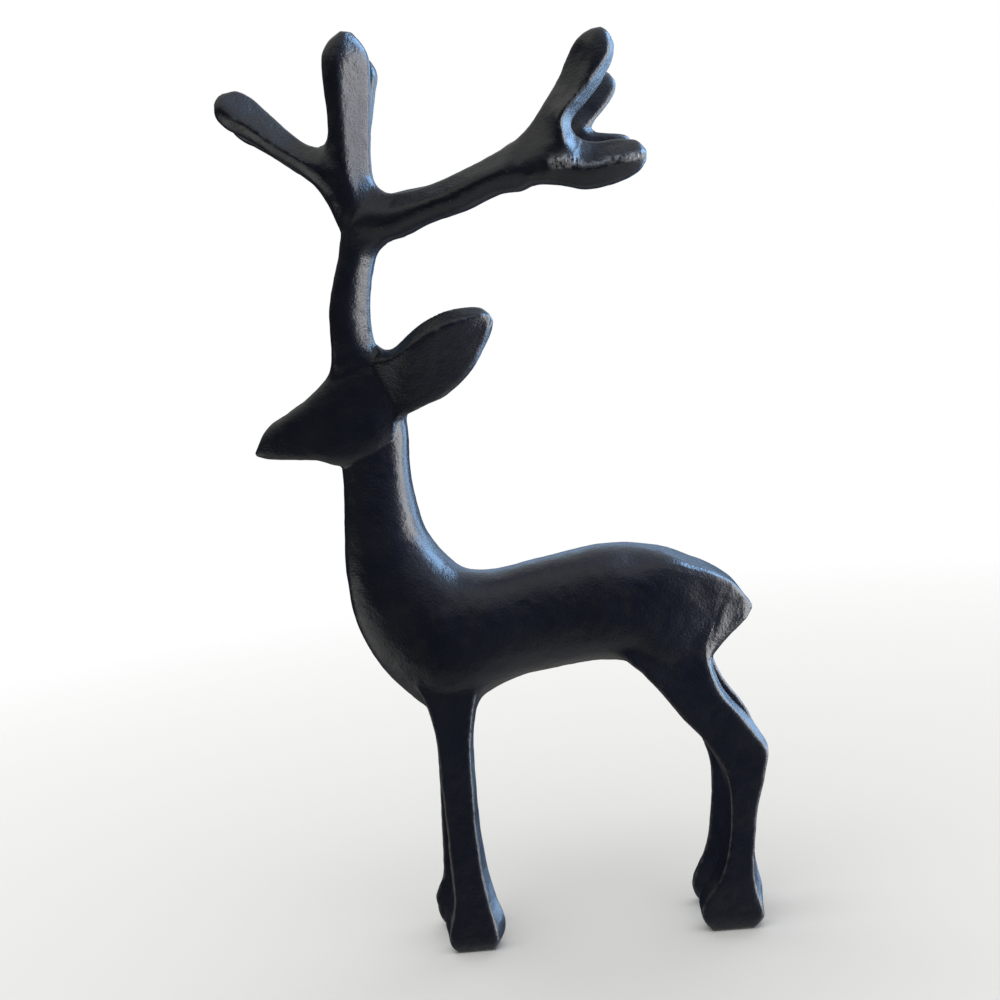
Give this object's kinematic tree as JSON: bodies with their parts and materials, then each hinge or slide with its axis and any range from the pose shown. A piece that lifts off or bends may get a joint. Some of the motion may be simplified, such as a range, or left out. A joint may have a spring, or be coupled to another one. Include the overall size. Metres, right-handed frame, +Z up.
{
  "type": "stag statue",
  "caption": "Standing stag statue cast in one piece, head up and looking ahead, with tall branched antlers, slab legs and flared hooves, standing free on its four flat soles.",
  "frame": {"origin": "on the ground, midway between nose and tail and on the middle plane between the left and right hooves", "axes": "+Z up, -X the way the stag looks, -Y its left side, which is the one in the picture"},
  "size_m": [0.1663, 0.0734, 0.3198],
  "materials": {
    "iron": "black satin paint over a fine pebbled sand-cast skin"
  },
  "bodies": {
    "root": {"stag": "iron"}
  },
  "joints": []
}
